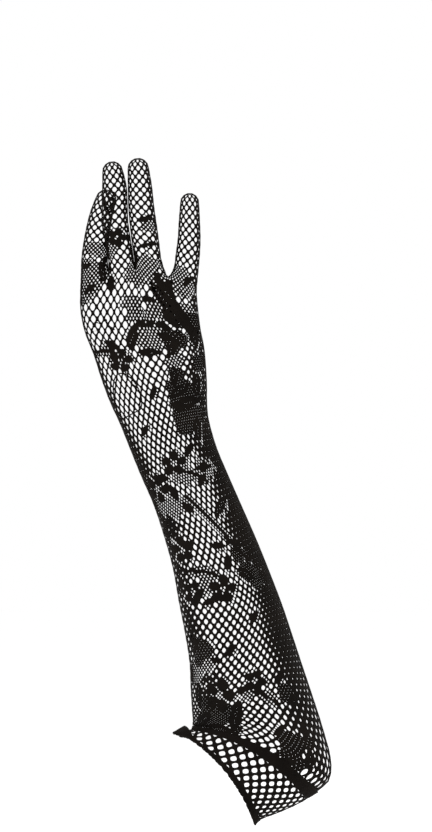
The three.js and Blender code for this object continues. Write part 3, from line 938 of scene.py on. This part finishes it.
def thumb_lattice(glove):
    """Vertices of the palm's lattice, set on the thumb's front and back so that both lie behind the
    palm's net in the photograph's view, and one more row round the thumb's outline.
    """
    line_x, line_y, line_z, radius = THUMB_LINE.T
    radius = radius - NET_INSET
    lattice = Lattice()
    front, back, rim = {}, {}, {}
    for v in np.flatnonzero((glove.normals[:, 1] < 0) & (glove.points[:, 2] > THUMB_LOWEST)):
        x, _, z = glove.points[v]
        flat = np.hypot(x - line_x, z - line_z)
        rise = 1 - (flat / radius) ** 2
        if rise.max() < THUMB_EDGE:
            continue
        middle, depth = line_y[rise > 0], (radius * np.sqrt(np.maximum(rise, 0)))[rise > 0]
        front[v] = lattice.add((x, (middle - depth).min(), z), glove.parity[v], 0)
        back[v] = lattice.add((x, (middle + depth).max(), z), glove.parity[v], 0)
        near = int(np.argmin(flat - radius))
        out_x, out_z = np.array([x - line_x[near], z - line_z[near]]) / flat[near] * radius[near]
        rim[v] = (line_x[near] + out_x, line_y[near], line_z[near] + out_z)
    patch = [tuple(q) for q in glove.quads if all(v in front for v in q)]
    edges = {(q[k - 1], q[k]) for q in patch for k in range(4)}
    outer = {}
    for a, b in sorted(edge for edge in edges if edge[::-1] not in edges):
        for v in (a, b):
            if v not in outer:
                outer[v] = lattice.add(rim[v], glove.parity[v] + 1, 0)
        lattice.quads.append((front[b], front[a], outer[a], outer[b]))
        lattice.quads.append((back[a], back[b], outer[b], outer[a]))
    for q in patch:
        lattice.quads += [tuple(front[v] for v in q), tuple(back[v] for v in q[::-1])]
    lattice.close()
    return lattice


def thumb_seam():
    """The line where the thumb leaves the palm."""
    place = np.linspace(0, SEAM_REACH, 261)
    seam = []
    for angle in circle(SEAM_STEPS):
        line = finger_point(THUMB, place, angle)
        inside = in_palm(line)
        inside[0] = True
        seam.append(line[inside][-1])
    seam = np.array(seam)
    for _ in range(3):
        seam = (np.roll(seam, 1, axis=0) + 2 * seam + np.roll(seam, -1, axis=0)) / 4
    return seam


def thumb_net(glove):
    """The thumb's net, cut off where it leaves the palm, with a seam round its foot."""
    lattice = thumb_lattice(glove)
    surface = plain_surface(lattice, THUMB_STRAND, ~in_palm(lattice.middles()))
    add_yarn_loop(surface, thumb_seam(), SEAM_RADIUS)
    return surface


def add_yarn_loop(surface, path, radius):
    """A closed round yarn along a path."""
    ahead = unit(np.roll(path, -1, axis=0) - np.roll(path, 1, axis=0))
    out = path - path.mean(axis=0)
    out = unit(out - ahead * np.einsum("ij,ij->i", out, ahead)[:, None])
    beside = np.cross(ahead, out)
    angle = circle(8)[:, None]
    round_it = np.cos(angle) * out[:, None] + np.sin(angle) * beside[:, None]
    surface.ring(path[:, None] + radius * round_it)


# Rings of a fingertip's cap up to its very tip: scale, and how far up
CAP_RINGS = [(1.0, 0.0), (0.75, 0.45), (0.4, 0.8), (0.0, 1.0)]


def close_tip(surface, lattice, ring, tip):
    """A close-worked cap over the last ring of a finger."""
    points, normals = lattice.points[ring], lattice.normals[ring]
    middle = points.mean(axis=0)
    axis = unit(tip - middle)
    for side in (1, -1):
        layers = []
        for scale, rise in CAP_RINGS:
            at = middle + (points - middle) * scale + (tip - middle) * rise
            lift = normals * (1 - rise) + axis * rise
            layers.append(surface.add(at + side * STRAND_RISE * lift))
        for low, high in zip(layers, layers[1:]):
            surface.face(side, low, np.roll(low, -1), np.roll(high, -1), high)


def ribbon_band(low, high, ruffle=0.0, flare=0.0, scallop=0.0, pinch=0.0):
    """A close-knitted band between two places on the arm: a thick ribbon with rounded edges and fine
    ribs. It ruffles and flares in the bend of the elbow, is pinched on its outer side, and has
    scallops all round, by so many millimetres.
    """
    angle = circle(RIB_COLUMNS * BAND_RIBS)[:, None]
    # The ribbon's outline: how far along it and how far out from its middle, as shares
    flat = np.linspace(-BAND_FLAT, BAND_FLAT, 13)
    bend = np.radians(np.linspace(-60, 60, 5))
    rounded = BAND_FLAT + (1 - BAND_FLAT) * np.cos(bend)
    along = np.concatenate([flat, rounded, flat[::-1], -rounded])
    out = np.append(1 + 0 * flat, -np.sin(bend))
    out = np.append(out, -out)
    place = (low + high) / 2 + (high - low) / 2 * along
    gap = -np.sign(along) * (np.abs(along) > 0.8) * SEAM_GAP / 2
    inner = -np.sin(angle)  # 1 in the bend of the elbow, -1 on its outer side
    gap = gap + flare * np.where(along > 0, 1, 0.6) * along * smoothstep(inner, 0.7, 1)
    gap = gap - pinch * along * smoothstep(-inner, 0, 1)
    waves = np.cos(SCALLOPS * angle + 1.5 * np.sin(5 * angle))
    gap = gap - scallop * (0.5 + 0.5 * waves) * (along < 0)
    ruffled = smoothstep(inner, 0.2, 0.9)
    ruffles = ruffle * ruffled * np.cos(RUFFLES * angle) * np.clip(-along, 0, 1) ** 0.7
    ribs = RIB_DEPTH * np.cos(BAND_RIBS * angle) * np.sign(out) * np.clip(1 - np.abs(along) ** 6, 0, 1)
    inset = NET_INSET - (BAND_WALL / 2 - BAND_SINK) * out - np.abs(ribs) * np.sign(out) - ruffles
    surface = Surface()
    surface.ring(arm_point(place, angle, inset, gap).swapaxes(0, 1))
    return surface


def put_in(name, data):
    """A new object in the scene."""
    thing = bpy.data.objects.new(name, data)
    bpy.context.collection.objects.link(thing)
    return thing


def set_inputs(node, values):
    for name, value in values.items():
        node.inputs[name].default_value = value


# Colour, pitch of the twist and strength of the sheen
YARNS = {
    "lace_net": ((0.0048, 0.0034, 0.0025), 0.5, 0.012),
    "plain_net": ((0.0054, 0.0039, 0.0029), 0.7, 0.01),
    "close_knit": ((0.0046, 0.0033, 0.0024), 0.6, 0.02),
}


def yarn_material(name, colour, pitch, sheen):
    """Black nylon yarn: twisted strands, a soft sheen, and slightly uneven dye."""
    material = bpy.data.materials.new(name)
    material.use_nodes = True
    nodes, links = material.node_tree.nodes, material.node_tree.links
    shader = nodes["Principled BSDF"]
    tint = (0.8, 0.67, 0.56, 1)
    set_inputs(shader, {"Roughness": 0.7, "Specular IOR Level": 0.05})
    set_inputs(shader, {"Sheen Weight": sheen, "Sheen Roughness": 0.45, "Sheen Tint": tint})
    place = nodes.new("ShaderNodeTexCoord")
    cloud = nodes.new("ShaderNodeTexNoise")
    set_inputs(cloud, {"Scale": 55, "Detail": 3})
    links.new(place.outputs["Object"], cloud.inputs["Vector"])
    dye = nodes.new("ShaderNodeValToRGB")
    for element, position, strength in zip(dye.color_ramp.elements, (0.35, 0.7), (0.7, 1.35)):
        element.position = position
        element.color = (*[strength * c for c in colour], 1)
    links.new(cloud.outputs["Fac"], dye.inputs["Fac"])
    links.new(dye.outputs["Color"], shader.inputs["Base Color"])
    twist = nodes.new("ShaderNodeTexWave")
    twist.bands_direction = "DIAGONAL"
    set_inputs(twist, {"Scale": 1 / (pitch * MM), "Distortion": 6, "Detail": 2, "Detail Scale": 1.5})
    links.new(place.outputs["Object"], twist.inputs["Vector"])
    bump = nodes.new("ShaderNodeBump")
    set_inputs(bump, {"Strength": 0.6, "Distance": TWIST_DEPTH * MM})
    links.new(twist.outputs["Fac"], bump.inputs["Height"])
    links.new(bump.outputs["Normal"], shader.inputs["Normal"])
    return material


def stage():
    """A pale floor just below the glove, a white studio round it, and soft lights."""
    paper = bpy.data.materials.new("stage_paper")
    paper.use_nodes = True
    white = (1, 1, 1, 1)
    shader = paper.node_tree.nodes["Principled BSDF"]
    set_inputs(shader, {"Base Color": white, "Roughness": 1, "Specular IOR Level": 0})
    mesh = bpy.data.meshes.new("stage_floor")
    height = cad_box[0][2] - FLOOR_GAP
    r = FLOOR_REACH
    corners = [(-r, -r, height), (r, -r, height), (r, r, height), (-r, r, height)]
    mesh.from_pydata(corners, [], [(0, 1, 2, 3)])
    mesh.materials.append(paper)
    put_in("stage_floor", mesh)

    world = bpy.data.worlds.new("studio")
    bpy.context.scene.world = world
    world.use_nodes = True
    set_inputs(world.node_tree.nodes["Background"], {"Color": white, "Strength": 1.0})
    for name, place, aim, size, power in [
        ("key", (-1.4, -2.4, 1.8), (0, 0, -0.05), 1.2, 30),
        ("fill", (1.9, -1.6, 0.9), (0, 0, -0.05), 1.4, 12),
        ("rim", (0.9, 2.2, 1.9), (0, 0, 0), 1.2, 18),
    ]:
        light = bpy.data.lights.new(name, "AREA")
        light.energy = power
        light.size = size
        lamp = put_in(name, light)
        lamp.location = place
        lamp.rotation_euler = (Vector(aim) - Vector(place)).to_track_quat("-Z", "Y").to_euler()


def camera():
    """A distant camera square to the back of the hand, framed as the photograph is."""
    data = bpy.data.cameras.new("camera")
    data.sensor_width = SENSOR_WIDTH
    data.lens = SENSOR_WIDTH * CAMERA_DISTANCE / (PHOTO_SIZE[1] * MM_PER_PIXEL * MM)
    data.clip_end = 100
    eye = put_in("camera", data)
    eye.location = (PHOTO_CENTRE[0], -CAMERA_DISTANCE, PHOTO_CENTRE[1])
    eye.rotation_euler = (math.pi / 2, 0, 0)
    bpy.context.scene.camera = eye


def main():
    bpy.context.scene.view_settings.view_transform = "Standard"
    yarns = {slot: yarn_material(slot, *look) for slot, look in YARNS.items()}
    lattice, tips = glove_lattice()
    surfaces = net(lattice)
    sleeve, fingers = surfaces[: len(SLEEVE)], surfaces[len(SLEEVE) :]
    for name, surface in zip(FINGERS, fingers):
        close_tip(surface, lattice, *tips[name])
    elbow_band = ribbon_band(BAND_FOOT, BAND_TOP + NET_LAP, flare=0.5, pinch=1.6)
    hem_band = ribbon_band(RIM, HEM_TOP, ruffle=0.8, flare=5, scallop=0.7)
    pieces = [(name, "lace_body", surface, "lace_net") for name, surface in zip(SLEEVE, sleeve)]
    pieces += [(f"{name}_net", name, surface, "lace_net") for name, surface in zip(FINGERS, fingers)]
    pieces += [
        ("thumb_net", "thumb", thumb_net(lattice), "lace_net"),
        ("cuff_net", "net_cuff", cuff_net(), "plain_net"),
        ("elbow_band_knit", "elbow_band", elbow_band, "close_knit"),
        ("hem_band_knit", "hem_band", hem_band, "close_knit"),
    ]
    for name, node, surface, slot in pieces:
        piece = surface.piece(name, yarns[slot])
        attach(piece, "root")
        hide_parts(node)
    stage()
    camera()


main()
